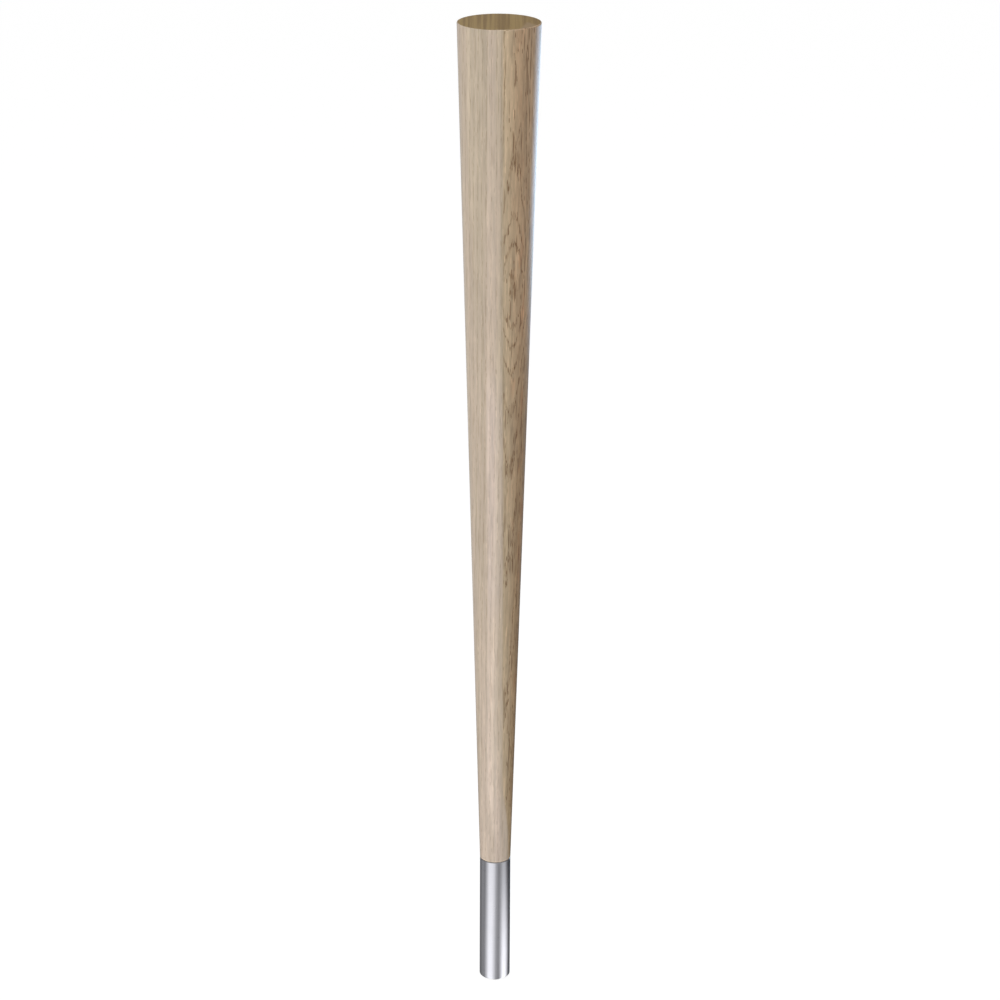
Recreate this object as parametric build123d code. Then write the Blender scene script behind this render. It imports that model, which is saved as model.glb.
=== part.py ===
"""Turned table leg: a straight-tapered oak shaft on a straight aluminium ferrule.

The shaft is one turning. Its foot ends in a shoulder and a long round tenon, and the
ferrule, a cup turned from round bar, slides over the tenon until its rim closes on the
shoulder, flush with the wood. A nylon glide sits in a recess under the cup, and one
countersunk screw holds glide, cup and tenon together.

Millimetres, +Z up. The origin is the centre of the mounting face on top, where the leg
meets the table, and the leg hangs down from it to the floor at z = -leg_length.
"""
from build123d import *
import os

# Overall sizes
leg_length = 711.0  # from the mounting face down to the floor
top_diameter = 56.5  # shaft at the mounting face
ferrule_diameter = 22.2  # outside of the metal cup, and the shaft where it meets the cup
ferrule_length = 96.0  # metal that shows below the wood

# Shaft
top_edge_radius = 0.8  # eased edge round the mounting face
shoulder_chamfer = 0.5  # eased edge of the wood above the metal
relief_width = 1.2  # groove at the tenon's root, which lets the rim close on the shoulder
relief_depth = 0.4
tenon_lead_in = 1.5  # chamfer that starts the tenon into the cup

# Ferrule
ferrule_wall = 1.65
ferrule_web = 2.5  # metal between the tenon's end and the glide
rim_chamfer_outside = 0.4
rim_chamfer_inside = 0.3
foot_edge_radius = 1.5  # rounded edge round the foot
bore_corner_radius = 0.8  # left by the boring tool at the bottom of the cup

# Glide
glide_stand = 1.5  # how far the glide stands below the metal
glide_rim = 2.7  # metal left round the glide
glide_edge_radius = 0.9
glide_web = 0.65  # nylon under the screw's head

# Glide screw, countersunk at 90 degrees
screw_diameter = 3.5  # over the thread, and at the plain neck
screw_core_diameter = 2.4  # between the thread's turns
screw_length = 25.0
screw_neck_length = 2.5  # plain neck above the head
screw_head_diameter = 7.0
screw_head_land = 0.3  # straight edge round the head
screw_head_sink = 0.6  # from the floor up to the head
screw_point_length = 5.0
drive_width = 1.0  # one arm of the cross recess
drive_span = 4.0
drive_depth = 1.3
drive_draft = 10.0  # degrees, on the recess's walls

# Clearances
glue_clearance = 0.10  # round the tenon, for adhesive
tenon_end_gap = 0.3  # between the tenon's end and the bottom of the cup
glide_clearance = 0.10  # round the glide in its recess
screw_clearance = 0.20  # round the screw through glide and cup
seat_clearance = 0.03  # between the screw's head and its countersink
pilot_clearance = 0.05  # round the screw's core in the tenon
pilot_end_gap = 1.0  # of the pilot hole beyond the screw's point

# Heights and radii that follow from them
floor_z = -leg_length
foot_z = floor_z + glide_stand
rim_z = foot_z + ferrule_length
head_z = floor_z + screw_head_sink

top_radius = top_diameter / 2
ferrule_radius = ferrule_diameter / 2
bore_radius = ferrule_radius - ferrule_wall
tenon_radius = bore_radius - glue_clearance
glide_radius = ferrule_radius - glide_rim
screw_radius = screw_diameter / 2
core_radius = screw_core_diameter / 2
head_radius = screw_head_diameter / 2
screw_hole_radius = screw_radius + screw_clearance

head_cone_height = head_radius - screw_radius
cone_base_z = head_z + screw_head_land
glide_top_z = cone_base_z + head_cone_height + glide_web
cup_floor_z = glide_top_z + ferrule_web
tenon_end_z = cup_floor_z + tenon_end_gap
screw_tip_z = head_z + screw_length


def turned(profile):
    """A solid of revolution about Z, from a closed half section in the XZ plane."""
    return revolve(Plane.XZ * profile, Axis.Z, 360)


def half_section(points, rounds=()):
    """A closed face through (radius, height) points, with some corners rounded.

    rounds holds (corner point, radius) pairs.
    """
    section = make_face(Polyline(*points, close=True))
    for corner, radius in rounds:
        vertex = section.vertices().sort_by_distance((corner[0], corner[1], 0))[0]
        section = fillet(vertex, radius)
    return section


def leg_shaft():
    """The oak turning: taper, shoulder, relief groove and tenon, bored for the screw."""
    top_corner = (top_radius, 0)
    groove_radius = tenon_radius - relief_depth
    # The chamfer runs down the taper's own line to the flat of the shoulder.
    taper_slope = (top_radius - ferrule_radius) / -rim_z
    chamfer_start = (ferrule_radius + taper_slope * shoulder_chamfer, rim_z + shoulder_chamfer)
    section = half_section(
        [
            (0, 0),
            top_corner,
            chamfer_start,
            (ferrule_radius - shoulder_chamfer, rim_z),
            (groove_radius, rim_z),
            (groove_radius, rim_z - relief_width + relief_depth),
            (tenon_radius, rim_z - relief_width),
            (tenon_radius, tenon_end_z + tenon_lead_in),
            (tenon_radius - tenon_lead_in, tenon_end_z),
            (0, tenon_end_z),
        ],
        rounds=[(top_corner, top_edge_radius)],
    )
    pilot_radius = core_radius + pilot_clearance
    point_start_z = screw_tip_z - screw_point_length
    pilot_hole = turned(
        half_section(
            [
                (0, tenon_end_z),
                (pilot_radius, tenon_end_z),
                (pilot_radius, point_start_z + pilot_end_gap),
                (0, screw_tip_z + pilot_end_gap),
            ]
        )
    )
    return turned(section) - pilot_hole


def ferrule():
    """The aluminium cup: rim and bore above, rounded foot, glide recess and screw hole."""
    foot_corner = (ferrule_radius, foot_z)
    bore_corner = (bore_radius, cup_floor_z)
    recess_radius = glide_radius + glide_clearance
    section = half_section(
        [
            (screw_hole_radius, cup_floor_z),
            bore_corner,
            (bore_radius, rim_z - rim_chamfer_inside),
            (bore_radius + rim_chamfer_inside, rim_z),
            (ferrule_radius - rim_chamfer_outside, rim_z),
            (ferrule_radius, rim_z - rim_chamfer_outside),
            foot_corner,
            (recess_radius, foot_z),
            (recess_radius, glide_top_z),
            (screw_hole_radius, glide_top_z),
        ],
        rounds=[(foot_corner, foot_edge_radius), (bore_corner, bore_corner_radius)],
    )
    return turned(section)


def foot_glide():
    """The nylon disc under the cup, countersunk so that the screw never meets the floor."""
    sole_corner = (glide_radius, floor_z)
    seat_radius = head_radius + seat_clearance
    cone_top_z = cone_base_z + seat_radius - screw_hole_radius
    section = half_section(
        [
            (seat_radius, floor_z),
            (seat_radius, cone_base_z),
            (screw_hole_radius, cone_top_z),
            (screw_hole_radius, glide_top_z),
            (glide_radius, glide_top_z),
            sole_corner,
        ],
        rounds=[(sole_corner, glide_edge_radius)],
    )
    return turned(section)


def glide_screw():
    """The countersunk steel screw with a cross recess: head, neck and core, no thread."""
    neck_start_z = cone_base_z + head_cone_height
    neck_end_z = neck_start_z + screw_neck_length
    core_start_z = neck_end_z + screw_radius - core_radius
    section = half_section(
        [
            (0, head_z),
            (head_radius, head_z),
            (head_radius, cone_base_z),
            (screw_radius, neck_start_z),
            (screw_radius, neck_end_z),
            (core_radius, core_start_z),
            (core_radius, screw_tip_z - screw_point_length),
            (0, screw_tip_z),
        ]
    )
    screw = turned(section)
    mouth = Plane((0, 0, head_z))
    for angle in (0, 90):
        arm = mouth * Rot(Z=angle) * Rectangle(drive_span, drive_width)
        screw -= extrude(arm, drive_depth, taper=drive_draft)
    return screw


if __name__ == "__main__":
    os.makedirs("parts", exist_ok=True)
    pieces = {
        "leg_shaft": leg_shaft,
        "ferrule": ferrule,
        "foot_glide": foot_glide,
        "glide_screw": glide_screw,
    }
    for name, make in pieces.items():
        piece = make()
        export_step(piece, f"parts/{name}.step")
        print(f"{name}: {piece.volume / 1000:.2f} cm3")
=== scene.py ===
# %% [markdown]
# # A turned oak leg on a brushed aluminium ferrule
#
# The real leg is one piece of oak, glued up from two boards and turned to a straight taper,
# with a metal cup pushed over its narrow end. Under the cup sit a nylon glide and its screw.
# The pieces come from the CAD model at their real size. This lesson gives them their
# finishes, cuts the screw's thread, and sets up the floor, the lamps and the camera.

# %% Load the pieces and measure them
import math

import bpy
import numpy as np
from mathutils import Matrix, Vector


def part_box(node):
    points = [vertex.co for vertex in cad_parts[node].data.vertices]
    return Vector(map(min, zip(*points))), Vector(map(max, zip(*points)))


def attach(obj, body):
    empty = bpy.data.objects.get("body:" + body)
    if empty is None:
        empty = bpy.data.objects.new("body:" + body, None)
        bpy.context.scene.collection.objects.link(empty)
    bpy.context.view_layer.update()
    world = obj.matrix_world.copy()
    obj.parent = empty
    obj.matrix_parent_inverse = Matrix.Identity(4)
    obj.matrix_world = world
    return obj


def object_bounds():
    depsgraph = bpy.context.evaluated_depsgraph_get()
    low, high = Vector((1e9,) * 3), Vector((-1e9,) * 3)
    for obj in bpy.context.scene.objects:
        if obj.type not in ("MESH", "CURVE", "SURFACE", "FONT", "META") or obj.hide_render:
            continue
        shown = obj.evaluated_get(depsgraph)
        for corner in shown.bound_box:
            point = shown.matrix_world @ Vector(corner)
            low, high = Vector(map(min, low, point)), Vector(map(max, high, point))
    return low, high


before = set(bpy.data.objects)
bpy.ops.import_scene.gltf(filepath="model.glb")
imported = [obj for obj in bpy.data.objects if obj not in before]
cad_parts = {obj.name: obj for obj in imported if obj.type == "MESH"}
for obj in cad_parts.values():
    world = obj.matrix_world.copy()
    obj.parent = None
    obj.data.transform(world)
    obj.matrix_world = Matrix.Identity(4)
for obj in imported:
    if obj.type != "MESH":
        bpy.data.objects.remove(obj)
cad_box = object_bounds()

mm = 0.001
floor_z = cad_box[0][2]
rim_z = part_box("ferrule")[1][2]
ferrule_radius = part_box("ferrule")[1][0]
top_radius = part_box("leg_shaft")[1][0]
print(f"leg {-floor_z / mm:.0f} mm long, top {2 * top_radius / mm:.1f} mm across")
print(f"ferrule {2 * ferrule_radius / mm:.1f} mm across, rim at {rim_z / mm:.1f} mm")

# %% [markdown]
# ## The camera
#
# The leg was photographed from a little above its top with a long lens, so its sides converge
# only a little by perspective, and nearly all of the taper that shows is real. A camera could
# be aimed by a constraint, but a place and two turns, written as one matrix, say exactly where
# it looks.

# %% Place the camera
lens_mm = 111.1
sensor_mm = 36.0
camera_right = 0.00217
camera_back = 2.0269
camera_above_top = 0.4024
look_down = math.radians(20.04)
camera_roll = math.radians(0.298)
farthest_seen = 50.0


def photo_camera():
    """A camera behind -Y that looks along +Y, tips down, and rolls a little."""
    data = bpy.data.cameras.new("photo_camera")
    data.lens = lens_mm
    data.sensor_width = sensor_mm
    data.clip_end = farthest_seen
    camera = bpy.data.objects.new("photo_camera", data)
    bpy.context.scene.collection.objects.link(camera)
    camera.matrix_world = (
        Matrix.Translation((camera_right, -camera_back, camera_above_top))
        @ Matrix.Rotation(math.pi / 2 - look_down, 4, "X")
        @ Matrix.Rotation(camera_roll, 4, "Z")
    )
    bpy.context.scene.camera = camera
    return camera


camera = photo_camera()
print("camera at", [round(value, 3) for value in camera.location])

# %% [markdown]
# ## A few words for building materials
#
# Shader nodes can be placed by hand or by code. In code the same three steps come back for
# every node: add it, set its fields, fill or link its sockets. These helpers do that, so that
# each finish below reads like a short recipe. Lengths inside the materials are millimetres,
# because wood grain and brush marks are thought of in millimetres.

# %% Add a node and fill its sockets
def wire(tree, value, socket):
    """Link an output to a socket, or type a plain value into it."""
    if isinstance(value, bpy.types.NodeSocket):
        tree.links.new(value, socket)
    else:
        socket.default_value = value


def node(tree, kind, inputs=None, **fields):
    """Add a node, set its fields, and fill its sockets by name or number."""
    new = tree.nodes.new(kind)
    for field, value in fields.items():
        setattr(new, field, value)
    for socket, value in (inputs or {}).items():
        wire(tree, value, new.inputs[socket])
    return new


# %% Reckon with numbers
def maths(tree, operation, *values):
    """The result of one Math node on outputs or numbers."""
    new = node(tree, "ShaderNodeMath", dict(enumerate(values)), operation=operation)
    return new.outputs[0]


def total(tree, first, *others):
    """The sum of outputs or numbers."""
    for other in others:
        first = maths(tree, "ADD", first, other)
    return first


def product(tree, first, *others):
    """The product of outputs or numbers."""
    for other in others:
        first = maths(tree, "MULTIPLY", first, other)
    return first


def line(tree, value, slope, start):
    """A straight line: value times slope, plus start."""
    return maths(tree, "MULTIPLY_ADD", value, slope, start)


def s_curve(tree, value, start, end, before=0.0, after=1.0):
    """Goes smoothly from before to after while value goes from start to end."""
    inputs = {"Value": value, "From Min": start, "From Max": end, "To Min": before, "To Max": after}
    return node(tree, "ShaderNodeMapRange", inputs, interpolation_type="SMOOTHSTEP").outputs[0]


# %% Reckon with vectors and colours
def vector_maths(tree, operation, *values):
    """The vector result of one Vector Math node."""
    new = node(tree, "ShaderNodeVectorMath", dict(enumerate(values)), operation=operation)
    return new.outputs["Vector"]


def scaled(tree, vector, factor):
    """A vector or a colour times a number."""
    inputs = {"Vector": vector, "Scale": factor}
    return node(tree, "ShaderNodeVectorMath", inputs, operation="SCALE").outputs["Vector"]


def level_length(tree, vector):
    """How long a vector is without its upright part."""
    level = vector_maths(tree, "MULTIPLY", vector, (1, 1, 0))
    return node(tree, "ShaderNodeVectorMath", {0: level}, operation="LENGTH").outputs["Value"]


def xyz_of(tree, vector):
    """The three parts of a vector."""
    return node(tree, "ShaderNodeSeparateXYZ", {0: vector}).outputs


def mixed(tree, factor, first, second, blend="MIX"):
    """Two colours mixed by factor, or one laid on the other by a blend mode."""
    inputs = {0: factor, 6: first, 7: second}
    new = node(tree, "ShaderNodeMix", inputs, data_type="RGBA", blend_type=blend)
    return new.outputs[2]


def tinted(tree, colour, tint, amount):
    """A colour multiplied by a tint, as strongly as amount says."""
    return mixed(tree, amount, colour, tint, blend="MULTIPLY")


# %% Make noise
seed_direction = (17.3, 29.1, 41.7)


def shifted_cells(tree, position, size, seed):
    """Position in cells of a size, shifted along one skew line to a place of the seed's own."""
    cells = vector_maths(tree, "DIVIDE", position, size)
    return vector_maths(tree, "ADD", cells, scaled(tree, seed_direction, seed))


def noise(tree, position, grain, seed, detail=2.0):
    """Soft noise from 0 to 1 whose blobs measure about grain, a vector in millimetres."""
    inputs = {"Vector": shifted_cells(tree, position, grain, seed), "Scale": 1.0, "Detail": detail}
    return node(tree, "ShaderNodeTexNoise", inputs).outputs[0]


def signed(tree, value, amount):
    """Noise from 0 to 1 turned into a swing from about -amount to +amount."""
    return product(tree, maths(tree, "SUBTRACT", value, 0.5), product(tree, amount, 2.0))


# %% Build and use groups
def new_group(name, inputs, outputs):
    """An empty shader node group: its tree, its input outlets and its output sockets."""
    tree = bpy.data.node_groups.new(name, "ShaderNodeTree")
    for label, kind in inputs:
        tree.interface.new_socket(label, in_out="INPUT", socket_type="NodeSocket" + kind)
    for label, kind in outputs:
        tree.interface.new_socket(label, in_out="OUTPUT", socket_type="NodeSocket" + kind)
    given = node(tree, "NodeGroupInput").outputs
    result = node(tree, "NodeGroupOutput").inputs
    return tree, given, result


def use(tree, group, **inputs):
    """Place a group in a tree, fill its sockets by name, where _ may stand for a space."""
    new = node(tree, "ShaderNodeGroup", node_tree=group)
    for label, value in inputs.items():
        wire(tree, value, new.inputs[label.replace("_", " ")])
    return new.outputs


# %% Start a material and put it on a piece
def new_material(name):
    """A material, its tree, its Principled shader, and the Object coordinates in mm."""
    material = bpy.data.materials.new(name)
    material.use_nodes = True
    tree = material.node_tree
    position = scaled(tree, node(tree, "ShaderNodeTexCoord").outputs["Object"], 1.0 / mm)
    return material, tree, tree.nodes["Principled BSDF"], position


def bumped(tree, shader, height, depth_mm):
    """Feed the shader's Normal from a height, where 1 stands depth_mm above 0."""
    inputs = {"Height": height, "Distance": depth_mm * mm}
    wire(tree, node(tree, "ShaderNodeBump", inputs).outputs[0], shader.inputs["Normal"])


def dress(node_name, material):
    """Give a CAD piece its finish through the material slot that it already has."""
    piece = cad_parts[node_name]
    piece.material_slots[0].material = material
    print(node_name, "wears", material.name, "with", len(material.node_tree.nodes), "nodes")


# %% [markdown]
# ## Streaks
#
# Oak fibres, brush marks on metal and turning marks on plastic are one pattern: noise that is
# long one way and narrow the others. Only its size in each direction differs, so one group
# serves every piece. Two layers, the second three times finer, keep it from looking printed.

# %% The streaks group
finer_by = 0.33
broad_share, fine_share = 0.65, 0.35
fine_seed = 7.0


def build_streaks():
    """Two thirds of noise stretched to Size and one third of a finer one; 0.5 is neutral."""
    inputs = [("Position", "Vector"), ("Size", "Vector"), ("Seed", "Float")]
    tree, given, result = new_group("streaks", inputs, [("Streaks", "Float")])
    broad = noise(tree, given["Position"], given["Size"], given["Seed"])
    finer_size = scaled(tree, given["Size"], finer_by)
    own_seed = total(tree, given["Seed"], fine_seed)
    fine = noise(tree, given["Position"], finer_size, own_seed)
    both = line(tree, fine, fine_share, product(tree, broad, broad_share))
    wire(tree, both, result["Streaks"])
    return tree


streaks_group = build_streaks()
print("streaks group of", len(streaks_group.nodes), "nodes")

# %% [markdown]
# ## Bands at the edges
#
# Where a turned piece ends, its edge is eased, and a paler band there is a painted highlight for
# the light that the eased edge catches. The crease between two pieces is painted darker, a painted
# shade. Both are rings at a known height on the leg, so a soft band round one height is all that
# the mask has to be.

# %% The edge band group
def build_edge_band():
    """1 at Height, falling smoothly to 0 at Width above and below it."""
    inputs = [("Position", "Vector"), ("Height", "Float"), ("Width", "Float")]
    tree, given, result = new_group("edge_band", inputs, [("Mask", "Float")])
    z = xyz_of(tree, given["Position"])["Z"]
    away = maths(tree, "ABSOLUTE", maths(tree, "SUBTRACT", z, given["Height"]))
    wire(tree, s_curve(tree, away, given["Width"], 0.0), result["Mask"])
    return tree


edge_band_group = build_edge_band()
print("edge band group of", len(edge_band_group.nodes), "nodes")

# %% [markdown]
# ## Growth rings
#
# A tree grows a cone round its pith each year. A board's figure is nothing but the place where
# the turned surface cuts through those cones: straight lines where they stand on edge, and
# nested arches where they lie flat. Stripes drawn on the surface would not agree on the front,
# the sides and the back. So the rings are made in space, round a pith that stands beside the
# leg, and the figure comes out by itself on the taper.
#
# In oak each ring starts with a band of open vessels, the earlywood, and ends dense and
# smooth. Where the trunk swelled a little, round a twig that it grew over, the rings close in
# an eye: above it the arches point up, below it they point down. Where rings lie flat in the
# surface their edges are frayed, because each thin column of fibres stands a little further
# out or in than the next.

# %% How far a point is from the pith
ring_inputs = [
    ("Position", "Vector"), ("Pith", "Vector"), ("Lean", "Vector"), ("Swell", "Float"),
    ("Swell Height", "Float"), ("Swell Length", "Float"), ("Ring Width", "Float"),
    ("Wander", "Float"), ("Feather", "Float"), ("Seed", "Float"),
]
slow_grain = (45.0, 45.0, 190.0)
quick_grain = (3.2, 3.2, 15.0)
quick_share = 0.45
column_grain = (1.0, 1.0, 9.0)
column_seed = 2.0


def distance_to_pith(tree, given):
    """Level distance to the pith, a line that shifts by Lean for each millimetre of height."""
    z = xyz_of(tree, given["Position"])["Z"]
    pith = vector_maths(tree, "ADD", given["Pith"], scaled(tree, given["Lean"], z))
    return level_length(tree, vector_maths(tree, "SUBTRACT", given["Position"], pith))


def swelling(tree, given):
    """Swell over one plus the square of the height above Swell Height, in Swell Lengths."""
    z = xyz_of(tree, given["Position"])["Z"]
    above = maths(tree, "SUBTRACT", z, given["Swell Height"])
    along = maths(tree, "DIVIDE", above, given["Swell Length"])
    return maths(tree, "DIVIDE", given["Swell"], line(tree, along, along, 1.0))


def wandering(tree, given):
    """A slow wander, a quick one, and Feather, which shifts each column of fibres alone."""
    position, seed = given["Position"], given["Seed"]
    slow = signed(tree, noise(tree, position, slow_grain, seed, detail=1.0), given["Wander"])
    quick_size = product(tree, given["Wander"], quick_share)
    quick = signed(tree, noise(tree, position, quick_grain, seed, detail=3.0), quick_size)
    own_seed = total(tree, seed, column_seed)
    columns = noise(tree, position, column_grain, own_seed, detail=1.0)
    return total(tree, slow, quick, signed(tree, columns, given["Feather"]))


# %% The growth rings group
good_years_rhythm = 0.45
good_years_swing = 0.8
earlywood_opens = (0.90, 1.00)
earlywood_fades = (0.26, 0.03)


def build_growth_rings():
    """Earlywood mask and tone of each ring.

    The distance to the pith, the swelling and the wandering are added up and divided by Ring
    Width, which counts the rings: the whole part is the ring's number, the rest is how far the
    year has gone. Noise along the count makes good years, with wide rings, and bad ones. The
    earlywood opens just before the count turns over and fades soon after.
    """
    outputs = [("Earlywood", "Float"), ("Ring Tone", "Float")]
    tree, given, result = new_group("growth_rings", ring_inputs, outputs)
    swollen = total(tree, swelling(tree, given), distance_to_pith(tree, given))
    grown = total(tree, swollen, wandering(tree, given))
    even = maths(tree, "DIVIDE", grown, given["Ring Width"])
    rhythm = {"W": even, "Scale": good_years_rhythm}
    good_years = node(tree, "ShaderNodeTexNoise", rhythm, noise_dimensions="1D").outputs[0]
    rings = line(tree, good_years, good_years_swing, even)
    year = maths(tree, "FRACT", rings)
    number = maths(tree, "FLOOR", rings)

    opening = s_curve(tree, year, *earlywood_opens)
    fading = s_curve(tree, year, *earlywood_fades)
    wire(tree, maths(tree, "MAXIMUM", opening, fading), result["Earlywood"])
    own_tone = node(tree, "ShaderNodeTexWhiteNoise", {"W": number}, noise_dimensions="1D")
    wire(tree, own_tone.outputs["Value"], result["Ring Tone"])
    return tree


growth_rings_group = build_growth_rings()
print("growth rings group of", len(growth_rings_group.nodes), "nodes")

# %% [markdown]
# ## Vessels
#
# The vessels are thin tubes along the grain. The tool cuts them open lengthwise, and they
# show as short dark dashes, a row of them along each earlywood band and a few elsewhere. Soft
# noise cut off high runs together in blots, so each dash is a cell of its own here: a texture
# of cells, stretched along the leg, has one drawn-out drop round the heart of every cell.

# %% The vessels group
drop_edge, drop_core = 0.40, 0.28
share_in_latewood, share_added_in_earlywood = 0.30, 0.85
chance_softness = 0.15


def build_vessels():
    """Dashes in cells of Width by Length: every cell has its drop, kept or left out by chance.

    The drop is 1 near the cell's heart and fades with the distance. It is kept where the
    cell's own random number lies below a share, which is small in latewood and large in
    earlywood.
    """
    inputs = [("Position", "Vector"), ("Earlywood", "Float"), ("Width", "Float"),
              ("Length", "Float"), ("Seed", "Float")]
    tree, given, result = new_group("vessels", inputs, [("Vessels", "Float")])
    sizes = {"X": given["Width"], "Y": given["Width"], "Z": given["Length"]}
    size = node(tree, "ShaderNodeCombineXYZ", sizes).outputs[0]
    cells = shifted_cells(tree, given["Position"], size, given["Seed"])
    hearts = node(tree, "ShaderNodeTexVoronoi", {"Vector": cells, "Scale": 1.0}).outputs
    drop = s_curve(tree, hearts["Distance"], drop_edge, drop_core)
    chance = node(tree, "ShaderNodeSeparateColor", {0: hearts["Color"]}).outputs[0]
    share = line(tree, given["Earlywood"], share_added_in_earlywood, share_in_latewood)
    kept = s_curve(tree, maths(tree, "SUBTRACT", share, chance), 0.0, chance_softness)
    wire(tree, product(tree, drop, kept), result["Vessels"])
    return tree


vessels_group = build_vessels()
print("vessels group of", len(vessels_group.nodes), "nodes")

# %% [markdown]
# ## One board of oak
#
# A board is two colours that follow its rings, shaded by its fibres, with light flecks and
# dark vessels laid over them. It is a group of its own because the leg has two, cut from
# different planks: the left one shows its rings on edge, as quiet straight lines, and the
# right one shows them flat, as arches.

# %% Dashes and fibres of a board
narrow_fibre = (1.5, 1.5, 17.0)
wide_fibre = (4.2, 4.2, 95.0)


def dashes(tree, given, earlywood, own_seed, size):
    """One layer of dashes of a size, more of them where earlywood is high."""
    seed = total(tree, given["Seed"], own_seed)
    return use(tree, vessels_group, Position=given["Position"], Earlywood=earlywood, Seed=seed,
               **size)["Vessels"]


def fibre_light(tree, given):
    """1 plus Fibre Contrast times the swing of narrow and wide streaks."""
    streaks = [use(tree, streaks_group, Position=given["Position"], Size=size, Seed=given["Seed"])
               for size in (narrow_fibre, wide_fibre)]
    fibres = total(tree, streaks[0]["Streaks"], streaks[1]["Streaks"])
    swing = product(tree, maths(tree, "SUBTRACT", fibres, 1.0), given["Fibre Contrast"])
    return total(tree, swing, 1.0)


# %% The oak board group
board_inputs = ring_inputs + [
    ("Latewood Colour", "Color"), ("Earlywood Colour", "Color"), ("Vessel Colour", "Color"),
    ("Fibre Contrast", "Float"), ("Vessel Strength", "Float"), ("Fleck Light", "Float"),
]
long_dash = {"Width": 1.4, "Length": 26.0}
short_dash = {"Width": 0.95, "Length": 5.5}
fleck_dash = {"Width": 1.3, "Length": 8.0}
long_seed, short_seed, fleck_seed = 3.0, 5.0, 8.0
long_strength = 0.85
short_slope, short_start = 1.30, -0.20
darkest_ring, lightest_ring = 0.95, 1.05


def build_oak_board():
    """Colour and open vessels of one board, from where its pith stands and how it grew.

    Long dashes lie everywhere, more of them in earlywood, and short ones hardly outside it. Of
    two that cross, the darker one counts.
    """
    outputs = [("Colour", "Color"), ("Vessels", "Float")]
    tree, given, result = new_group("oak_board", board_inputs, outputs)
    passed_on = {label: given[label] for label, kind in ring_inputs}
    rings = use(tree, growth_rings_group, **passed_on)
    early = rings["Earlywood"]
    long = dashes(tree, given, early, long_seed, long_dash)
    only_early = line(tree, early, short_slope, short_start)
    short = dashes(tree, given, only_early, short_seed, short_dash)
    vessels = maths(tree, "MAXIMUM", product(tree, long, long_strength), short)
    flecks = dashes(tree, given, 0.0, fleck_seed, fleck_dash)

    base = mixed(tree, early, given["Latewood Colour"], given["Earlywood Colour"])
    ring_light = s_curve(tree, rings["Ring Tone"], 0.0, 1.0, darkest_ring, lightest_ring)
    fleck_light = line(tree, flecks, given["Fleck Light"], 1.0)
    toned = scaled(tree, base, product(tree, fibre_light(tree, given), ring_light, fleck_light))
    dark = product(tree, vessels, given["Vessel Strength"])
    wire(tree, mixed(tree, dark, toned, given["Vessel Colour"]), result["Colour"])
    wire(tree, vessels, result["Vessels"])
    return tree


oak_board_group = build_oak_board()
print("oak board group of", len(oak_board_group.nodes), "nodes")

# %% [markdown]
# ## The glue line
#
# The two boards meet almost in a plane, which shows as a line down the front, a little right
# of the middle. It leans to the right on its way down, wavers, and bends further right close
# to the foot. The boards could be two meshes, but the leg is turned from one blank, so one
# surface changes its colours there. What lies beside the glue line is reckoned from one
# number, the distance past it.
#
# Heights here and below are millimetres from the top of the leg, so they are negative.

# %% Where the glue line runs
glue_line_at_top = 2.3
glue_line_lean = -0.0052
glue_line_bend = 4.0
bend_starts, bend_full = -550.0, -595.0
glue_line_waver = 0.9
waver_grain = (6.0, 6.0, 40.0)
waver_seed = 15.0
glue_line_softness = 0.9


def past_glue_line(tree, position):
    """How far a point lies to the right of the glue line, in millimetres.

    The line's place is the one at the top, plus the lean times the height, the bend and the
    waver.
    """
    x, y, z = xyz_of(tree, position)
    waver = signed(tree, noise(tree, position, waver_grain, waver_seed), glue_line_waver)
    straight = line(tree, z, glue_line_lean, glue_line_at_top)
    bend = s_curve(tree, z, bend_starts, bend_full, 0.0, glue_line_bend)
    return maths(tree, "SUBTRACT", x, total(tree, bend, waver, straight))


glue_line_at_rim = glue_line_at_top + glue_line_lean * rim_z / mm + glue_line_bend
print(f"glue line {glue_line_at_top} mm right of the middle, at the rim {glue_line_at_rim:.1f} mm")

# %% [markdown]
# ## The pale board
#
# The left board is pale and quiet. Its hue drifts slowly to green and back. A paler band runs
# beside the glue line, clearest in the middle of the leg, where it is also less yellow, and
# right at the glue line the wood is darker again. Towards the foot the whole board gets
# lighter. Each of these is a colour to multiply by, as strongly as a soft mask says. Masks
# made from height and distance go with the leg when it is turned or moved.

# %% The band beside the glue line
band_tint = (1.11, 1.115, 1.145, 1)
band_width, band_softness = 12.0, 2.5
band_light_starts, band_light_full = -100.0, -300.0
least_band_light, most_band_light = 0.02, 0.15
band_light_fades, band_light_low = -480.0, -600.0
band_light_left = 0.1
blush_tint = (0.99, 1.00, 1.07, 1)
blush_starts, blush_full = -220.0, -270.0
blush_fades, blush_ends = -390.0, -440.0


def pale_band(tree, colour, past_glue, z):
    """The band beside the glue line: its tint, its extra light by height, and its blush."""
    in_band = s_curve(tree, past_glue, -band_width, band_softness - band_width)
    banded = tinted(tree, colour, band_tint, in_band)
    growing = s_curve(tree, z, band_light_starts, band_light_full,
                      least_band_light, most_band_light)
    lasting = s_curve(tree, z, band_light_low, band_light_fades, band_light_left, 1.0)
    lighter = scaled(tree, banded, total(tree, product(tree, in_band, growing, lasting), 1.0))
    blush_in = s_curve(tree, z, blush_starts, blush_full)
    blush_out = s_curve(tree, z, blush_ends, blush_fades)
    return tinted(tree, lighter, blush_tint, product(tree, in_band, blush_in, blush_out))


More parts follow.
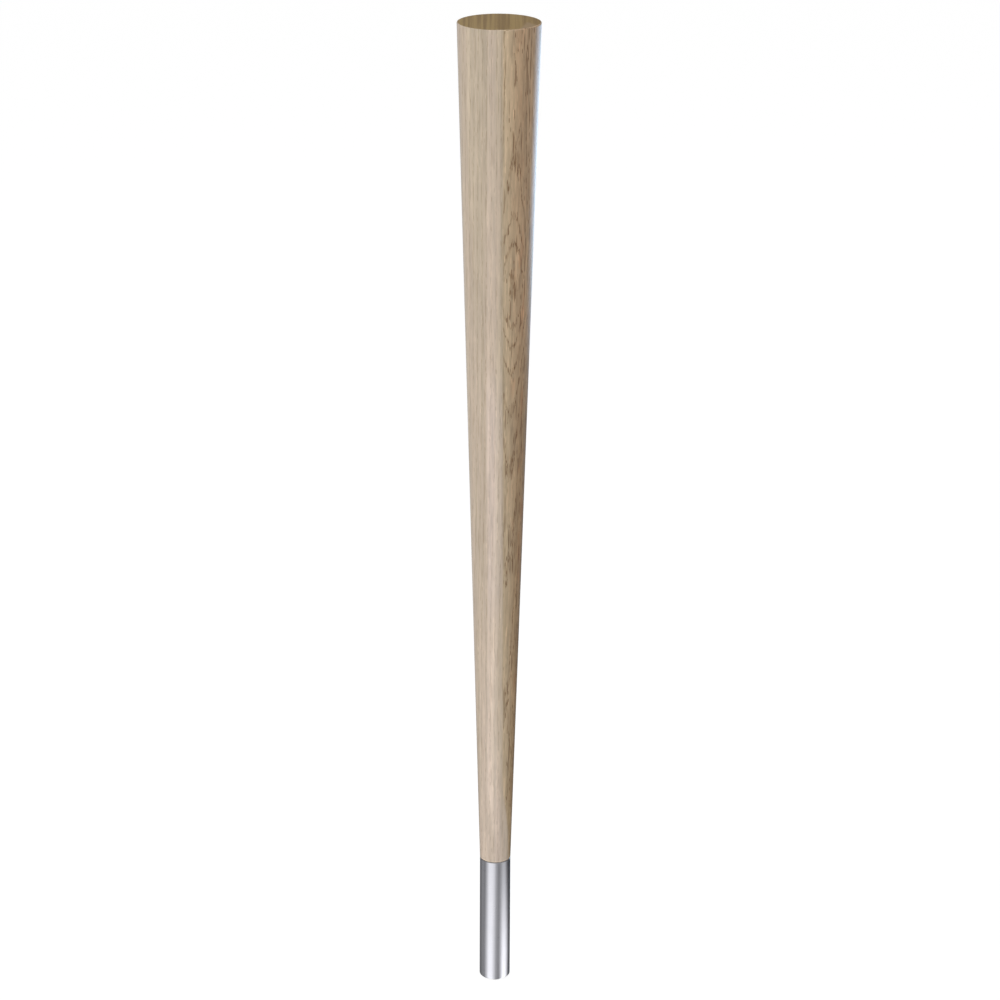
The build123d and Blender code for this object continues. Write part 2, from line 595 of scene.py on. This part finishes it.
# %% The left board
pale_wood = {
    "Pith": (-150.0, 12.0, 0.0), "Lean": (0.010, 0.0, 0.0),
    "Swell": 1.0, "Swell Height": -420.0, "Swell Length": 90.0,
    "Ring Width": 3.1, "Wander": 2.4, "Feather": 0.0, "Seed": 1.0,
    "Latewood Colour": (0.532, 0.428, 0.326, 1), "Earlywood Colour": (0.492, 0.388, 0.288, 1),
    "Vessel Colour": (0.350, 0.255, 0.172, 1), "Fibre Contrast": 0.60,
    "Vessel Strength": 0.45, "Fleck Light": 0.10,
}
green_tint = (0.985, 1.0, 0.965, 1)
green_grain = (9.0, 9.0, 330.0)
green_seed = 11.0
green_edge, green_core = 0.6, 0.4
beside_glue_tint = (0.89, 0.875, 0.84, 1)
beside_glue_width = 6.0
foot_tint = (1.15, 1.16, 1.22, 1)
foot_tint_starts, foot_tint_full = -330.0, -620.0


def pale_board(tree, position, past_glue):
    """Colour and vessels of the left board."""
    z = xyz_of(tree, position)["Z"]
    board = use(tree, oak_board_group, Position=position, **pale_wood)
    hue = noise(tree, position, green_grain, green_seed, detail=1.0)
    green = s_curve(tree, hue, green_edge, green_core)
    greenish = tinted(tree, board["Colour"], green_tint, green)
    banded = pale_band(tree, greenish, past_glue, z)
    beside_glue = s_curve(tree, past_glue, -beside_glue_width, 0.0)
    darker = tinted(tree, banded, beside_glue_tint, beside_glue)
    low_down = s_curve(tree, z, foot_tint_starts, foot_tint_full)
    return tinted(tree, darker, foot_tint, low_down), board["Vessels"]


# %% [markdown]
# ## The brown board
#
# The right board is olive beside the glue line and turns to brown heartwood away from it, with long
# reddish flames here and there. Further down, the right side of the leg is painted darker: partly a
# deeper brown of the heartwood, partly painted shade for the side turned away from the light. It is
# lightest near the top and a little lighter again near the foot. Its vessels are faint right beside
# the glue line. These are soft masks and tints again.

# %% From olive to brown, with flames
browning_width = 13.0
olive_tint = (1.00, 1.07, 1.11, 1)
heart_tint = (0.91, 0.87, 0.84, 1)
flame_tint = (1.04, 0.90, 0.84, 1)
flame_grain = (5.0, 5.0, 26.0)
flame_seed = 21.0
flame_edge, flame_core = 0.56, 0.70
flames_at_top = 0.25
flames_start, flames_full = -90.0, -200.0


def brown_tints(tree, colour, position, past_glue, z):
    """Olive beside the glue line, brown away from it, and flames, fewer at the top."""
    browning = s_curve(tree, past_glue, 0.0, browning_width)
    olive = tinted(tree, colour, olive_tint, maths(tree, "SUBTRACT", 1.0, browning))
    heartwood = tinted(tree, olive, heart_tint, browning)
    blobs = noise(tree, position, flame_grain, flame_seed, detail=1.0)
    flames = s_curve(tree, blobs, flame_edge, flame_core)
    low_down = s_curve(tree, z, flames_start, flames_full, flames_at_top, 1.0)
    return tinted(tree, heartwood, flame_tint, product(tree, browning, low_down, flames))


# %% The right board
brown_wood = {
    "Pith": (-43.8, 90.0, 0.0), "Lean": (0.0088, -0.018, 0.0),
    "Swell": 5.0, "Swell Height": -179.0, "Swell Length": 54.0,
    "Ring Width": 1.05, "Wander": 0.4, "Feather": 0.30, "Seed": 4.0,
    "Latewood Colour": (0.535, 0.384, 0.240, 1), "Earlywood Colour": (0.430, 0.294, 0.174, 1),
    "Vessel Colour": (0.220, 0.122, 0.056, 1), "Fibre Contrast": 1.05, "Fleck Light": 0.18,
}
quiet_width = 3.0
faint_vessels, clear_vessels = 0.35, 0.95
# The darker tint on the right side is partly heartwood brown and partly painted shade, for the side
# turned away from the light.
brown_and_shade_tint = (0.86, 0.82, 0.74, 1)
brown_and_shade_from_share, brown_and_shade_to_share = 0.45, 0.85
brown_and_shade_starts, brown_and_shade_full = -120.0, -330.0
taper = (top_radius - ferrule_radius) / -rim_z
upper_light, middle_light, lower_light = 1.12, 1.02, 1.07
upper_ends, middle_starts = -120.0, -320.0
middle_ends, lower_starts = -380.0, -500.0


def brown_board(tree, position, past_glue):
    """Colour and vessels of the right board.

    The darker right side, partly deeper brown and partly painted shade, starts at a share of
    the leg's half width at that height: the radius at the top plus the taper times the height.
    """
    x, y, z = xyz_of(tree, position)
    strength = s_curve(tree, past_glue, 0.0, quiet_width, faint_vessels, clear_vessels)
    board = use(tree, oak_board_group, Position=position, Vessel_Strength=strength, **brown_wood)
    flamed = brown_tints(tree, board["Colour"], position, past_glue, z)
    # Painted shade, partly: the right side of the leg, turned from the light, is darkened together
    # with the deeper heartwood brown.
    across = maths(tree, "DIVIDE", x, line(tree, z, taper, top_radius / mm))
    outside = s_curve(tree, across, brown_and_shade_from_share, brown_and_shade_to_share)
    brown_and_shade_mask = product(tree, outside, s_curve(tree, z, brown_and_shade_starts, brown_and_shade_full))
    browned_and_shaded = tinted(tree, flamed, brown_and_shade_tint, brown_and_shade_mask)
    lower = s_curve(tree, z, middle_ends, lower_starts, 1.0, lower_light)
    upper = s_curve(tree, z, upper_ends, middle_starts, upper_light, middle_light)
    return scaled(tree, browned_and_shaded, product(tree, upper, lower)), board["Vessels"]


print(f"the wood gets {2 * taper / mm:.1f} mm narrower on each metre of its way down")

# %% [markdown]
# ## The end grain
#
# On the top face the fibres stand on end. They drink the finish and turn a dark olive brown,
# which is why the top looks so different from the sides. It is streaked from front to back,
# and at its front right edge the finish missed a small patch, where the bare wood shows.

# %% The top face's colour
olive_end_grain = (0.305, 0.208, 0.080, 1)
brown_end_grain = (0.205, 0.130, 0.048, 1)
bare_end_grain = (0.300, 0.206, 0.112, 1)
layer_grain = (2.4, 170.0, 40.0)
layer_seed = 31.0
layer_light, layer_dark = 0.40, 0.62
bare_left_slope, bare_left_edge, bare_left_full = -0.2, 17.5, 20.0
bare_back_slope, bare_back_edge, bare_back_full = 1.5, 29.0, 24.0


def end_grain_colour(tree, position):
    """Two dark browns in layers, and bare wood right of one slanting line and before another."""
    x, y, z = xyz_of(tree, position)
    layers = noise(tree, position, layer_grain, layer_seed, detail=3.0)
    dark_layers = s_curve(tree, layers, layer_light, layer_dark)
    finished = mixed(tree, dark_layers, olive_end_grain, brown_end_grain)
    from_left = s_curve(tree, line(tree, y, bare_left_slope, x), bare_left_edge, bare_left_full)
    from_back = s_curve(tree, line(tree, x, bare_back_slope, y), bare_back_edge, bare_back_full)
    return mixed(tree, product(tree, from_left, from_back), finished, bare_end_grain)


# %% [markdown]
# ## The lacquered oak
#
# The side takes the colour of one board or the other, and the top face that of the end grain.
# Just above the metal the eased edge of the shoulder is painted paler, a painted highlight for the
# light that the rounded edge catches. The vessels are dents in the wood, and a thin satin lacquer,
# which is the shader's coat, lies over the sides. The end grain soaked its lacquer up, so it is
# matt.

# %% The oak material
# The tint for the eased edge above the rim is a painted highlight, not a colour of the wood.
painted_highlight_tint = (1.16, 1.15, 1.12, 1)
eased_edge_above_rim, eased_edge_width = 0.7, 1.0
side_tilt, top_tilt = 0.80, 0.99
smooth_wood, open_wood = 0.48, 0.80
vessel_depth = 0.06
coat_on_sides, coat_on_end_grain = 0.6, 0.05
coat_roughness = 0.12
end_grain_openness = 2.0


def oak_material():
    """Two boards split by the glue line, the end grain on top, dents and satin lacquer."""
    material, tree, shader, position = new_material("oak_lacquered")
    past_glue = past_glue_line(tree, position)
    left_colour, left_vessels = pale_board(tree, position, past_glue)
    right_colour, right_vessels = brown_board(tree, position, past_glue)
    in_right = s_curve(tree, past_glue, -glue_line_softness, glue_line_softness)
    both = mixed(tree, in_right, left_colour, right_colour)
    # Painted highlight: the band on the eased edge just above the rim is made paler.
    eased = use(tree, edge_band_group, Position=position,
                Height=rim_z / mm + eased_edge_above_rim, Width=eased_edge_width)
    side_colour = tinted(tree, both, painted_highlight_tint, eased["Mask"])

    normal = node(tree, "ShaderNodeTexCoord").outputs["Normal"]
    upward = maths(tree, "ABSOLUTE", xyz_of(tree, normal)["Z"])
    end_grain = s_curve(tree, upward, side_tilt, top_tilt)
    whole = mixed(tree, end_grain, side_colour, end_grain_colour(tree, position))
    wire(tree, whole, shader.inputs["Base Color"])

    vessels = mixed(tree, in_right, left_vessels, right_vessels)
    openness = line(tree, end_grain, end_grain_openness, vessels)
    roughness = s_curve(tree, openness, 0.0, end_grain_openness, smooth_wood, open_wood)
    wire(tree, roughness, shader.inputs["Roughness"])
    bumped(tree, shader, product(tree, vessels, -1.0), vessel_depth)
    coat = s_curve(tree, end_grain, 0.0, 1.0, coat_on_sides, coat_on_end_grain)
    wire(tree, coat, shader.inputs["Coat Weight"])
    shader.inputs["Coat Roughness"].default_value = coat_roughness
    return material


dress("leg_shaft", oak_material())

# %% [markdown]
# ## The aluminium ferrule
#
# The cup was spun against a fine abrasive, so its marks run round it. Light spreads across such
# marks, up and down the cup, and hardly along them, which draws every reflection out into an
# upright stripe. The Principled shader does this with Anisotropic, whose direction is turned a
# quarter so that it spreads along the axis. The crease just below the wood is painted darker, a
# painted shade for the shadow in the gap under the wood's shoulder.

# %% The ferrule material
brush_grain = (38.0, 38.0, 0.14)
cloud_grain = (6.0, 6.0, 9.0)
darker_metal = (0.86, 0.865, 0.895, 1)
lighter_metal = (0.93, 0.93, 0.95, 1)
# The crease tint is painted shade: it darkens the metal just below the wood, where the shoulder
# shades the rim.
crease_shade_tint = (0.30, 0.29, 0.28, 1)
crease_width = 0.9
dull_marks, bright_marks = 0.3, 0.7
metal_roughness = 0.30
roughness_of_marks, roughness_of_cloud = 0.05, 0.04
brush_depth = 0.002


def ferrule_material():
    """Bare metal, spread up and down, with fine marks round it in bump and roughness."""
    material, tree, shader, position = new_material("aluminium_brushed")
    marks = use(tree, streaks_group, Position=position, Size=brush_grain, Seed=2.0)["Streaks"]
    cloud = noise(tree, position, cloud_grain, seed=5.0)
    bright = s_curve(tree, marks, dull_marks, bright_marks)
    base = mixed(tree, bright, darker_metal, lighter_metal)
    # Painted shade in the crease just below the wood's shoulder.
    crease = use(tree, edge_band_group, Position=position, Height=rim_z / mm, Width=crease_width)
    wire(tree, tinted(tree, base, crease_shade_tint, crease["Mask"]), shader.inputs["Base Color"])
    from_marks = signed(tree, marks, roughness_of_marks)
    from_cloud = signed(tree, cloud, roughness_of_cloud)
    roughness = total(tree, from_marks, from_cloud, metal_roughness)
    wire(tree, roughness, shader.inputs["Roughness"])
    bumped(tree, shader, marks, brush_depth)
    shader.inputs["Metallic"].default_value = 1.0
    shader.inputs["Anisotropic"].default_value = 0.8
    shader.inputs["Anisotropic Rotation"].default_value = 0.25
    return material


dress("ferrule", ferrule_material())

# %% [markdown]
# ## The glide and its screw
#
# Nylon is off-white, waxy and a little translucent, with faint rings from its turning. The
# screw is steel with bright zinc, which is smooth and slightly blue, with a yellow cast in
# patches. Both are hidden under the foot, and both show as soon as the leg is turned over.

# %% The nylon material
turning_grain = (30.0, 30.0, 0.2)
nylon_cloud_grain = (2.5, 2.5, 2.5)
darker_nylon = (0.80, 0.79, 0.74, 1)
lighter_nylon = (0.86, 0.85, 0.81, 1)
scuff_tint = (0.86, 0.85, 0.83, 1)
scuff_width = 0.5
nylon_roughness, scuff_roughness = 0.38, 0.15
turning_depth = 0.004


def nylon_material():
    """Off-white plastic with turning rings, a faint cloud, and scuffs where it meets the floor."""
    material, tree, shader, position = new_material("nylon_turned")
    rings = use(tree, streaks_group, Position=position, Size=turning_grain, Seed=6.0)
    cloud = noise(tree, position, nylon_cloud_grain, seed=8.0)
    base = mixed(tree, cloud, darker_nylon, lighter_nylon)
    sole = use(tree, edge_band_group, Position=position, Height=floor_z / mm, Width=scuff_width)
    wire(tree, tinted(tree, base, scuff_tint, sole["Mask"]), shader.inputs["Base Color"])
    roughness = line(tree, sole["Mask"], scuff_roughness, nylon_roughness)
    wire(tree, roughness, shader.inputs["Roughness"])
    bumped(tree, shader, rings["Streaks"], turning_depth)
    shader.inputs["Subsurface Weight"].default_value = 0.15
    shader.inputs["Subsurface Radius"].default_value = (0.002, 0.0018, 0.0014)
    return material


dress("foot_glide", nylon_material())

# %% The zinc material
zinc_mark_grain = (12.0, 12.0, 0.08)
zinc_cast_grain = (1.6, 1.6, 2.2)
blue_zinc = (0.66, 0.68, 0.72, 1)
yellow_zinc = (0.72, 0.69, 0.60, 1)
cast_edge, cast_core = 0.45, 0.7
zinc_roughness, roughness_of_zinc_marks = 0.32, 0.06
zinc_mark_depth = 0.002


def zinc_material():
    """Bright zinc: bluish metal with pale yellow patches and fine marks round the axis."""
    material, tree, shader, position = new_material("zinc_bright")
    marks = use(tree, streaks_group, Position=position, Size=zinc_mark_grain, Seed=9.0)["Streaks"]
    cast = noise(tree, position, zinc_cast_grain, seed=12.0)
    base = mixed(tree, s_curve(tree, cast, cast_edge, cast_core), blue_zinc, yellow_zinc)
    wire(tree, base, shader.inputs["Base Color"])
    roughness = total(tree, signed(tree, marks, roughness_of_zinc_marks), zinc_roughness)
    wire(tree, roughness, shader.inputs["Roughness"])
    bumped(tree, shader, marks, zinc_mark_depth)
    shader.inputs["Metallic"].default_value = 1.0
    return material


zinc = zinc_material()
dress("glide_screw", zinc)

# %% [markdown]
# ## The thread of the screw
#
# The CAD screw ends in a plain core. Its thread is a sharp ridge that climbs round the core,
# grows out of it, and runs out over the point. It could be made with a Screw modifier, but as
# a surface of two parameters, the turn and the place across the ridge, the run-out at both
# ends is just one more factor.

# %% A skin over rings of points
def skin(name, rings, first_tip=None, last_tip=None):
    """A mesh through rings of points, an array (rings, points, 3), whose ends may close in a tip.

    Neighbouring rings are joined by quads, each ring is closed on itself, and a tip closes an
    end with a fan of triangles.
    """
    count, around = rings.shape[:2]
    ring, point = np.meshgrid(np.arange(count - 1), np.arange(around), indexing="ij")
    following = (point + 1) % around
    quads = np.stack([ring * around + point, (ring + 1) * around + point,
                      (ring + 1) * around + following, ring * around + following], axis=-1)
    points = rings.reshape(-1, 3)
    faces = quads.reshape(-1, 4).tolist()
    here, there = np.arange(around), (np.arange(around) + 1) % around
    for tip, start, flip in ((first_tip, 0, False), (last_tip, (count - 1) * around, True)):
        if tip is not None:
            edge = (there, here) if flip else (here, there)
            centre = np.full(around, len(points))
            faces += np.stack([start + edge[0], start + edge[1], centre], axis=-1).tolist()
            points = np.vstack([points, tip])
    mesh = bpy.data.meshes.new(name)
    mesh.from_pydata(points.tolist(), [], faces)
    piece = bpy.data.objects.new(name, mesh)
    bpy.context.scene.collection.objects.link(piece)
    return piece


# %% Cut the thread
thread_pitch = 1.6 * mm
thread_crest_radius = 1.75 * mm
thread_core_radius = 1.20 * mm
thread_sunk = 0.10 * mm
thread_root_width = 0.90 * mm
thread_crest_width = 0.12 * mm
thread_start_z = floor_z + 6.0 * mm
thread_point_length = 5.0 * mm
thread_run_in = 0.8
thread_least_size = 0.05
turns_left_at_tip = 0.3
smallest_root = 0.02 * mm
steps_per_turn = 32


def screw_thread(tip_z):
    """The ridge: a four-cornered section carried up a helix, closed at both ends.

    The height is the start plus the pitch times the turns. The root follows the core, which
    narrows to the point, and the crest stands proud of it by the thread's depth, which grows
    from next to nothing in the first turn and goes back with the core at the point.
    """
    turns_in_all = (tip_z - thread_start_z) / thread_pitch - turns_left_at_tip
    turn = np.linspace(0.0, turns_in_all, int(turns_in_all * steps_per_turn))[:, None]
    centre_z = thread_start_z + thread_pitch * turn
    narrowing = np.clip((tip_z - centre_z) / thread_point_length, 0.0, 1.0)
    size = np.clip(turn / thread_run_in, thread_least_size, 1.0) * np.sqrt(narrowing)
    root = np.maximum(thread_core_radius * narrowing - thread_sunk, smallest_root)
    crest = root + thread_sunk + (thread_crest_radius - thread_core_radius) * size
    half_root, half_crest = 0.5 * thread_root_width * size, 0.5 * thread_crest_width * size
    radius = np.hstack([root, root, crest, crest])
    rise = np.hstack([half_root, -half_root, -half_crest, half_crest])
    angle = 2 * np.pi * turn
    rings = np.stack([radius * np.cos(angle), radius * np.sin(angle), centre_z + rise], axis=-1)
    return skin("screw_thread", rings, rings[0].mean(axis=0), rings[-1].mean(axis=0))


# %% Measure the thread and hang it on the leg
def signed_volume(piece):
    """The sum over all triangles of the box product of their corners, by six."""
    piece.data.calc_loop_triangles()
    corners = np.empty(len(piece.data.vertices) * 3)
    piece.data.vertices.foreach_get("co", corners)
    order = np.empty(len(piece.data.loop_triangles) * 3, dtype=np.int64)
    piece.data.loop_triangles.foreach_get("vertices", order)
    a, b, c = corners.reshape(-1, 3)[order.reshape(-1, 3)].transpose(1, 0, 2)
    return float(np.einsum("ij,ij->", a, np.cross(b, c)) / 6.0)


thread = screw_thread(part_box("glide_screw")[1][2])
thread.data.materials.append(zinc)
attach(thread, "root")
print(f"thread of {len(thread.data.polygons)} faces, {signed_volume(thread) / mm**3:.2f} mm3")

# %% [markdown]
# ## The floor
#
# The leg stands on a plain pale floor without a horizon. To the camera, and in reflections,
# the floor is mostly white light of its own, so that it meets the white world without a line;
# the rest of it is lit by the lamps, so that the leg's soft shadow stays.

# %% Turn a line round the axis
round_steps = 96


def turned_line(name, radius, height):
    """Points of a bent line, each with a radius and a height, turned round the axis.

    Each becomes a ring at its height, of its radius times the cosine and sine of an angle. The
    line starts near the axis, where a tip at the first point's height closes the surface.
    """
    angle = np.linspace(0.0, 2 * np.pi, round_steps, endpoint=False)[None, :]
    radius, height = radius[:, None], height[:, None]
    rings = [radius * np.cos(angle), radius * np.sin(angle), height + 0.0 * angle]
    return skin(name, np.stack(rings, axis=-1), first_tip=np.array([0.0, 0.0, height[0, 0]]))


# %% Paint the floor
floor_paint = (0.86, 0.86, 0.86, 1)
floor_own_light = 0.85
floor_white = 1.10


def seen_directly(tree):
    """1 for rays from the camera, from glossy surfaces and through glass, else 0."""
    path = node(tree, "ShaderNodeLightPath").outputs
    direct = maths(tree, "MAXIMUM", path["Is Camera Ray"], path["Is Glossy Ray"])
    return maths(tree, "MAXIMUM", direct, path["Is Transmission Ray"])


def floor_material():
    """Pale matt paint that shows the camera mostly white light of its own."""
    material, tree, shader, position = new_material("studio_floor")
    tree.nodes.remove(shader)
    paint = node(tree, "ShaderNodeBsdfDiffuse", {"Color": floor_paint})
    white = node(tree, "ShaderNodeEmission", {"Color": (1, 1, 1, 1), "Strength": floor_white})
    share = product(tree, seen_directly(tree), floor_own_light)
    blend = node(tree, "ShaderNodeMixShader", {0: share, 1: paint.outputs[0], 2: white.outputs[0]})
    wire(tree, blend.outputs[0], tree.nodes["Material Output"].inputs["Surface"])
    return material


# %% Lay the floor
floor_reach = 12.0
floor_rings = 20
floor_inner_ring = 0.05
floor_radii = floor_reach * np.linspace(floor_inner_ring, 1.0, floor_rings)
floor = turned_line("studio_floor", floor_radii, np.full(floor_rings, floor_z))
floor.data.materials.append(floor_material())
print("floor of", len(floor.data.polygons), "faces")

# %% [markdown]
# ## The white world
#
# The world is plain white wherever it is seen, and gives a weaker light to what it shines on.
# From the right to behind on the right it gives less, as if a black flag stood there, out of
# the picture, which keeps that side of the leg from washing out. A flag could be a real board,
# but then the camera and every reflection would have to be told not to see it. Azimuths are
# degrees round the leg from the camera, right is plus.

# %% Light the world
world_light = 0.55
flag_from, flag_to = 70.0, 150.0
flag_edge = 15.0
flag_lets_through = 0.2
degrees_in_radian = 180.0 / math.pi


def azimuth_of(tree, x, y):
    """The angle round the leg from the camera's side, in radians: the arctangent of x by -y."""
    return maths(tree, "ARCTAN2", x, product(tree, y, -1.0))


def white_world():
    """A world that lights softly, less over the flag, but is plain white where it is seen."""
    world = bpy.data.worlds.new("white_world")
    bpy.context.scene.world = world
    world.use_nodes = True
    tree = world.node_tree
    background = tree.nodes["Background"]
    background.inputs["Color"].default_value = (1, 1, 1, 1)
    x, y, z = xyz_of(tree, node(tree, "ShaderNodeTexCoord").outputs["Generated"])
    degrees = product(tree, azimuth_of(tree, x, y), degrees_in_radian)
    after_start = s_curve(tree, degrees, flag_from - flag_edge, flag_from + flag_edge)
    before_end = s_curve(tree, degrees, flag_to + flag_edge, flag_to - flag_edge)
    flagged = product(tree, after_start, before_end)
    light = s_curve(tree, flagged, 0.0, 1.0, world_light, world_light * flag_lets_through)
    seen = seen_directly(tree)
    unseen = maths(tree, "SUBTRACT", 1.0, seen)
    wire(tree, line(tree, light, unseen, seen), background.inputs["Strength"])
    return world


print("world:", white_world().name, "at", world_light)

# %% [markdown]
# ## The stripes in the metal
#
# A bright cylinder looks like metal only if there is something dark for it to mirror. A
# photographer stands grey cards round it, out of the picture. Here they are one tent, a round
# floor with a wall: bright in front on the left and on the right, grey in between and behind.
# Low behind on the right its wall shines bright and bluish, and the lacquer mirrors that as a
# cool line down the leg's edge. Only reflections see the tent, so it casts no shadow and takes
# no light from the wood.

# %% A ramp of greys
blue_of_grey = 1.04


def greys_round(tree, turn, greys):
    """A ramp of greys over one turn, from 0 behind the leg, through the front, to 1 behind."""
    lookup = node(tree, "ShaderNodeValToRGB", {0: turn})
    ramp = lookup.color_ramp
    ramp.interpolation = "EASE"
    for degrees, grey in greys[1:-1]:
        ramp.elements.new(degrees / 360.0 + 0.5)
    for stop, (degrees, grey) in zip(ramp.elements, greys):
        stop.color = (grey, grey, grey * blue_of_grey, 1)
    return lookup.outputs[0]


# %% The greys of the tent
near_foot = 50.0
far_from_foot = 225.0
wall_starts = 330.0
wall_full = 800.0
near_greys = (
    (-180, 0.12), (-138, 0.12), (-112, 0.22), (-87, 0.22), (-68, 0.60), (-49, 1.12),
    (-24, 1.08), (-7, 0.70), (10, 0.32), (32, 0.22), (45, 0.56), (63, 1.24), (81, 1.32),
    (99, 1.00), (116, 0.38), (134, 0.04), (180, 0.08),
)
far_greys = (
    (-180, 0.10), (-131, 0.12), (-107, 0.25), (-82, 0.13), (-62, 0.48), (-46, 0.90),
    (-26, 0.90), (-6, 0.84), (9, 0.41), (31, 0.13), (49, 0.14), (68, 0.29), (82, 0.31),
    (100, 0.05), (115, 0.03), (134, 0.02), (180, 0.06),
)
wall_greys = (
    (-180, 0.55), (-150, 0.52), (-120, 0.30), (-80, 0.34), (-45, 0.42), (-10, 0.36),
    (20, 0.26), (60, 0.20), (105, 0.14), (180, 0.14),
)


def tent_greys(tree, position, angle):
    """Grey by azimuth, from one ramp near the foot to another on the floor and one on the wall.

    Close to the foot the cup's reflections meet the floor before they have spread out. So the
    azimuth is widened there, divided by one less half the cup's radius over the distance, and
    the stripes run straight down to the foot.
    """
    away = level_length(tree, position)
    nearer_by = maths(tree, "DIVIDE", 0.5 * ferrule_radius / mm, away)
    widened = maths(tree, "DIVIDE", angle, maths(tree, "SUBTRACT", 1.0, nearer_by))
    turn = line(tree, widened, 0.5 / math.pi, 0.5)
    far = s_curve(tree, away, near_foot, far_from_foot)
    on_wall = s_curve(tree, away, wall_starts, wall_full)
    near, further = (greys_round(tree, turn, greys) for greys in (near_greys, far_greys))
    on_floor = mixed(tree, far, near, further)
    return mixed(tree, on_wall, on_floor, greys_round(tree, turn, wall_greys))


# %% The light of the tent
cool_light = (1.7, 2.3, 3.0, 1)
cool_starts, cool_full = 112.0, 138.0
cool_low, cool_high = 20.0, 300.0
cool_fades, cool_gone = 340.0, 580.0


def tent_material():
    """Grey light by direction, and a bright bluish zone behind on the right."""
    material, tree, shader, position = new_material("grey_tent")
    tree.nodes.remove(shader)
    x, y, z = xyz_of(tree, position)
    angle = azimuth_of(tree, x, y)
    height = maths(tree, "SUBTRACT", z, floor_z / mm)
    sideways = s_curve(tree, product(tree, angle, degrees_in_radian), cool_starts, cool_full)
    upwards = s_curve(tree, height, cool_low, cool_high)
    below_top = s_curve(tree, height, cool_gone, cool_fades)
    share = product(tree, upwards, below_top, sideways)
    colour = mixed(tree, share, tent_greys(tree, position, angle), cool_light)
    light = node(tree, "ShaderNodeEmission", {"Color": colour})
    wire(tree, light.outputs[0], tree.nodes["Material Output"].inputs["Surface"])
    material.cycles.emission_sampling = "NONE"
    return material


# %% Pitch the tent
tent_reach = 1.3
tent_height = 1.3
tent_above_floor = 0.2 * mm
tent_inner_ring = 0.02
tent_steps = 12


def tent():
    """A round floor and a straight wall, as one bent line turned round."""
    level = floor_z + tent_above_floor
    floor_line = tent_reach * np.linspace(tent_inner_ring, 1.0, tent_steps)
    wall_line = np.linspace(level, level + tent_height, tent_steps)[1:]
    radius = np.concatenate([floor_line, np.full(tent_steps - 1, tent_reach)])
    height = np.concatenate([np.full(tent_steps, level), wall_line])
    return turned_line("grey_tent", radius, height)


grey_tent = tent()
grey_tent.data.materials.append(tent_material())
grey_tent.visible_camera = False
grey_tent.visible_diffuse = False
grey_tent.visible_shadow = False
grey_tent.visible_transmission = False
print("tent of", len(near_greys), "greys near the foot and", len(far_greys), "further away")

# %% [markdown]
# ## The lamps
#
# Plain soft light: a large panel on the left, a weaker one in front, a faint one on the right,
# and a wide one overhead. What the wood needs and what the metal mirrors are set apart here:
# no reflection shows the panels, because the tent is there for that. Each is given by the
# brightness of its face, and its power follows from that and its area. An area lamp faces
# down by itself, so the one overhead only has to be lifted.

# %% Set up the lamps
def panel_of_light(name, wide, high, brightness):
    """A rectangle of light that no ray from the camera and no reflection shows.

    Its power is pi times its area times the brightness of its face.
    """
    lamp = bpy.data.lights.new(name, "AREA")
    lamp.shape = "RECTANGLE"
    lamp.size, lamp.size_y = wide, high
    lamp.energy = math.pi * wide * high * brightness
    panel = bpy.data.objects.new(name, lamp)
    panel.visible_camera = False
    panel.visible_glossy = False
    bpy.context.scene.collection.objects.link(panel)
    return panel


def standing_panel(name, azimuth, distance, height, size, brightness):
    """A panel that faces the leg: azimuth in degrees from the camera, right is plus."""
    panel = panel_of_light(name, *size, brightness)
    turn = math.radians(azimuth)
    place = Vector((distance * math.sin(turn), -distance * math.cos(turn), floor_z + height))
    facing = Vector((place.x, place.y, 0.0)).to_track_quat("Z", "Y").to_matrix().to_4x4()
    panel.matrix_world = Matrix.Translation(place) @ facing
    return panel


key = standing_panel("key_panel", azimuth=-72, distance=1.0, height=0.48, size=(1.0, 1.1),
                     brightness=1.55)
front = standing_panel("front_panel", azimuth=8, distance=1.2, height=0.45, size=(0.6, 1.0),
                       brightness=1.15)
fill = standing_panel("fill_panel", azimuth=85, distance=1.3, height=0.6, size=(0.8, 1.2),
                      brightness=0.12)
top_light = panel_of_light("top_panel", wide=2.4, high=2.4, brightness=1.0)
top_light.location.z = floor_z + 2.6
print("lamps:", [lamp.name for lamp in (key, front, fill, top_light)])

# %% [markdown]
# ## Colours
#
# A view transform decides how bright light is shown. One that rolls the brightest tones off would
# grey the white ground, and Standard shows colours as they are written.

# %% Colours as they are written
bpy.context.scene.view_settings.view_transform = "Standard"
print("colours are shown by", bpy.context.scene.view_settings.view_transform)
